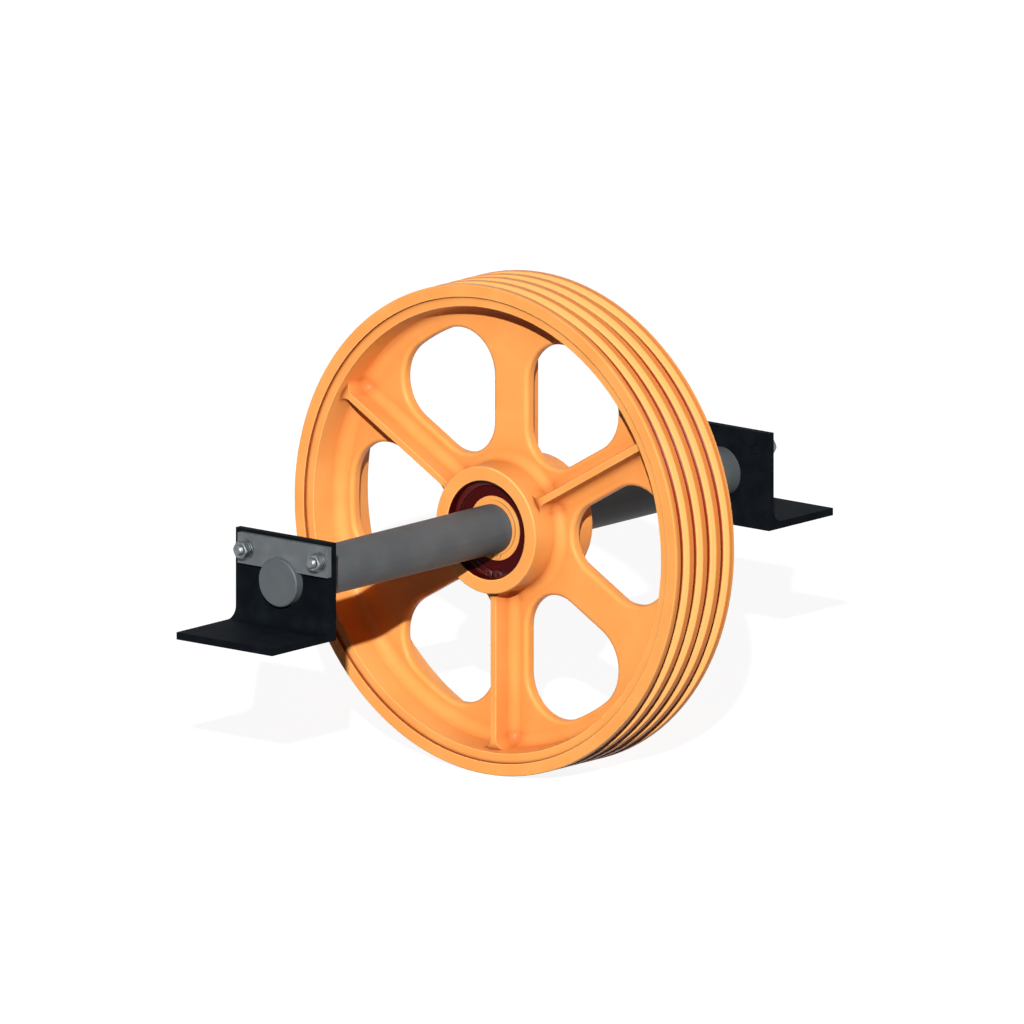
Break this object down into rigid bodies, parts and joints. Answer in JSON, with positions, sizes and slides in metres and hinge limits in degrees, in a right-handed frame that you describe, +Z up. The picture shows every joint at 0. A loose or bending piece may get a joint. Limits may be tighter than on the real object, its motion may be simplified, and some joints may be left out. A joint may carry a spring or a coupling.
{
  "type": "idler pulley",
  "caption": "Grooved rope sheave with a ribbed, holed web, turning on ball bearings on a fixed axle that is carried between angle brackets; it guides lift ropes.",
  "frame": {"origin": "on the axle's centre line, halfway between the two brackets", "axes": "+Y along the axle from the near bracket to the far one, +Z up, +X across; the feet face -Z"},
  "size_m": [0.4, 0.7, 0.4],
  "materials": {
    "orange_paint": "orange enamel on cast iron",
    "black_paint": "black paint on rolled steel",
    "bright_steel": "drawn and turned steel",
    "plate_steel": "rolled flat steel",
    "zinc_steel": "zinc plated",
    "oversprayed_steel": "ground steel, its open face oversprayed with the sheave's orange enamel",
    "bearing_steel": "ground bearing steel",
    "cage_steel": "pressed steel",
    "shield_steel": "pressed steel"
  },
  "bodies": {
    "carrier": {"shaft": "bright_steel", "bearing_spacer": "bright_steel", "bracket_near": "black_paint", "keeper_plate_near": "plate_steel", "shaft_circlip_near": "oversprayed_steel", "bearing_near_inner_ring": "oversprayed_steel", "keeper_stud_near_left": "zinc_steel", "keeper_stud_near_right": "zinc_steel", "keeper_washer_near_left": "zinc_steel", "keeper_washer_near_right": "zinc_steel", "keeper_nut_near_left": "zinc_steel", "keeper_nut_near_right": "zinc_steel", "bracket_far": "black_paint", "keeper_plate_far": "plate_steel", "shaft_circlip_far": "oversprayed_steel", "bearing_far_inner_ring": "oversprayed_steel", "keeper_stud_far_left": "zinc_steel", "keeper_stud_far_right": "zinc_steel", "keeper_washer_far_left": "zinc_steel", "keeper_washer_far_right": "zinc_steel", "keeper_nut_far_left": "zinc_steel", "keeper_nut_far_right": "zinc_steel"},
    "wheel": {"sheave": "orange_paint", "bearing_near_outer_ring": "oversprayed_steel", "bearing_near_outer_shield": "oversprayed_steel", "bearing_near_inner_shield": "shield_steel", "hub_circlip_near": "oversprayed_steel", "bearing_far_outer_ring": "oversprayed_steel", "bearing_far_outer_shield": "oversprayed_steel", "bearing_far_inner_shield": "shield_steel", "hub_circlip_far": "oversprayed_steel"},
    "cage_near": {"bearing_near_cage": "cage_steel", "bearing_near_ball_1": "bearing_steel", "bearing_near_ball_2": "bearing_steel", "bearing_near_ball_3": "bearing_steel", "bearing_near_ball_4": "bearing_steel", "bearing_near_ball_5": "bearing_steel", "bearing_near_ball_6": "bearing_steel", "bearing_near_ball_7": "bearing_steel", "bearing_near_ball_8": "bearing_steel", "bearing_near_ball_9": "bearing_steel"},
    "cage_far": {"bearing_far_cage": "cage_steel", "bearing_far_ball_1": "bearing_steel", "bearing_far_ball_2": "bearing_steel", "bearing_far_ball_3": "bearing_steel", "bearing_far_ball_4": "bearing_steel", "bearing_far_ball_5": "bearing_steel", "bearing_far_ball_6": "bearing_steel", "bearing_far_ball_7": "bearing_steel", "bearing_far_ball_8": "bearing_steel", "bearing_far_ball_9": "bearing_steel"}
  },
  "joints": [
    {"name": "wheel_spin", "type": "hinge", "parent": "carrier", "child": "wheel", "pos_m": [0, 0.012, 0], "axis": [0, 1, 0], "continuous": true},
    {"name": "cage_near_spin", "type": "hinge", "parent": "carrier", "child": "cage_near", "pos_m": [0, -0.0036, 0], "axis": [0, 1, 0], "continuous": true},
    {"name": "cage_far_spin", "type": "hinge", "parent": "carrier", "child": "cage_far", "pos_m": [0, 0.0276, 0], "axis": [0, 1, 0], "continuous": true}
  ],
  "couplings": [
    {"joint": "cage_near_spin", "follows": "wheel_spin", "ratio": 0.6},
    {"joint": "cage_far_spin", "follows": "wheel_spin", "ratio": 0.6}
  ]
}
